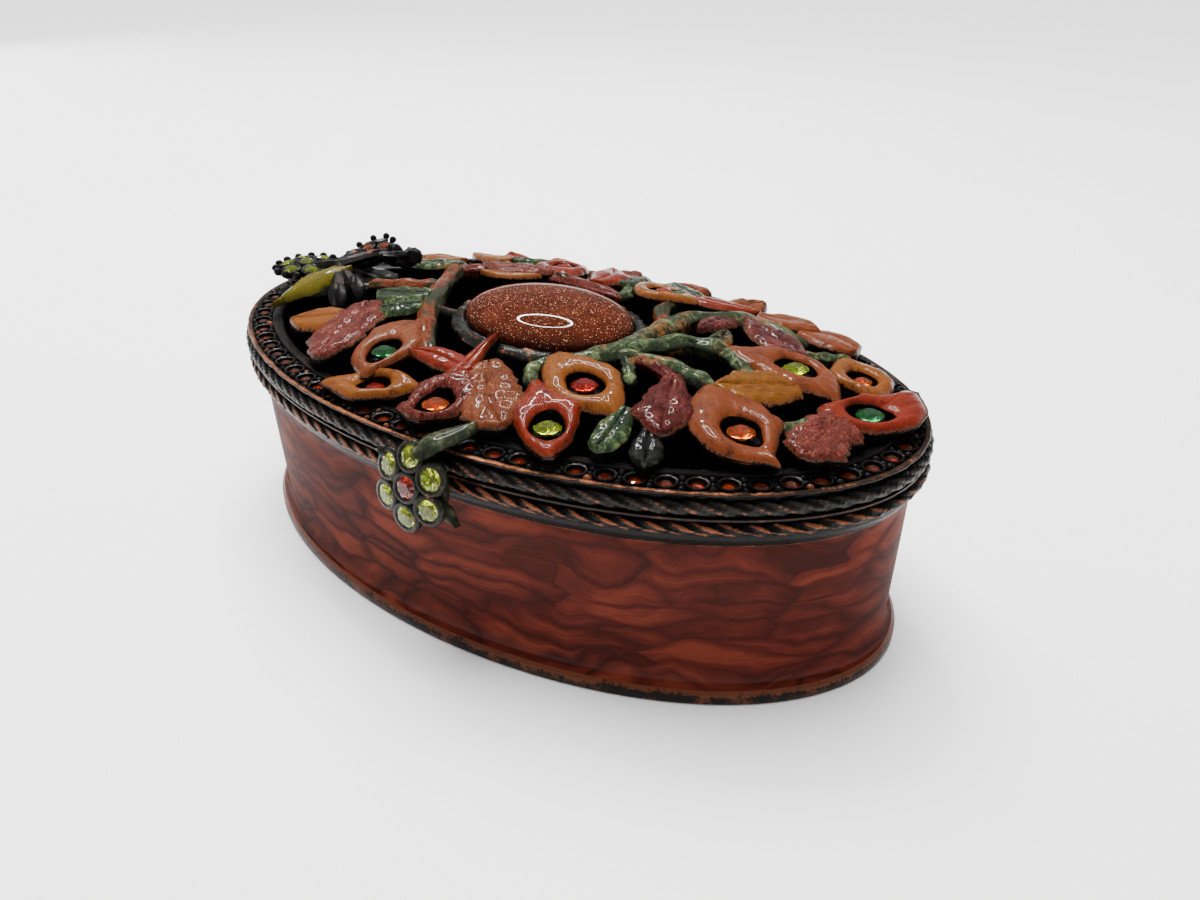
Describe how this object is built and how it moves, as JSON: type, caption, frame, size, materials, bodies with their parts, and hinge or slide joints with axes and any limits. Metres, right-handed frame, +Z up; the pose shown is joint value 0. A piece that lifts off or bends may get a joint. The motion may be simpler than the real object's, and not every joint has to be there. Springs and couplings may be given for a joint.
{
  "type": "oval trinket box",
  "caption": "Oval enamelled trinket box with a lift-off domed lid of openwork leaves, crystal flowers and an oval goldstone",
  "frame": {"origin": "centre of the underside of the box, on the surface it stands on", "axes": "+X along the long axis, towards the end without the spray; -Y is the front, where the crystal flower hangs; +Z up"},
  "size_m": [0.1266, 0.0782, 0.0453],
  "materials": {
    "body_enamel": "glossy red-brown enamel with darker swirls over cast metal, dark blackened beads and a copper flange",
    "lid_enamel": "cast metal leaves in ochre, mauve, brown, red and green enamel, with dark sides and copper ridges",
    "goldstone": "polished red-brown goldstone with copper glitter",
    "rim_crystal": "faceted amber glass in dark settings",
    "dark_metal": "blackened metal with copper and olive wear",
    "green_crystal": "faceted green glass",
    "lime_crystal": "faceted lime glass",
    "red_crystal": "faceted red-orange glass",
    "amber_crystal": "faceted amber glass"
  },
  "bodies": {
    "root": {"box": "body_enamel", "lid": "lid_enamel", "cabochon": "goldstone", "rim_crystals": "rim_crystal", "front_flower": "dark_metal", "end_spray": "dark_metal", "leaf_crystal_01": "green_crystal", "leaf_crystal_02": "red_crystal", "leaf_crystal_03": "amber_crystal", "leaf_crystal_04": "lime_crystal", "leaf_crystal_05": "red_crystal", "leaf_crystal_06": "lime_crystal", "leaf_crystal_07": "amber_crystal", "leaf_crystal_08": "green_crystal", "leaf_crystal_09": "amber_crystal", "leaf_crystal_10": "red_crystal", "leaf_crystal_11": "amber_crystal", "leaf_crystal_12": "lime_crystal", "leaf_crystal_13": "amber_crystal", "front_crystal_1": "red_crystal", "front_crystal_2": "lime_crystal", "front_crystal_3": "lime_crystal", "front_crystal_4": "lime_crystal", "front_crystal_5": "lime_crystal", "front_crystal_6": "lime_crystal", "front_crystal_7": "lime_crystal", "large_crystal_1": "lime_crystal", "large_crystal_2": "lime_crystal", "large_crystal_3": "lime_crystal", "large_crystal_4": "lime_crystal", "large_crystal_5": "lime_crystal", "large_crystal_6": "lime_crystal", "large_crystal_7": "lime_crystal", "small_crystal_1": "amber_crystal", "small_crystal_2": "amber_crystal", "small_crystal_3": "amber_crystal", "small_crystal_4": "amber_crystal", "small_crystal_5": "amber_crystal", "small_crystal_6": "amber_crystal", "small_crystal_7": "amber_crystal"}
  },
  "joints": []
}
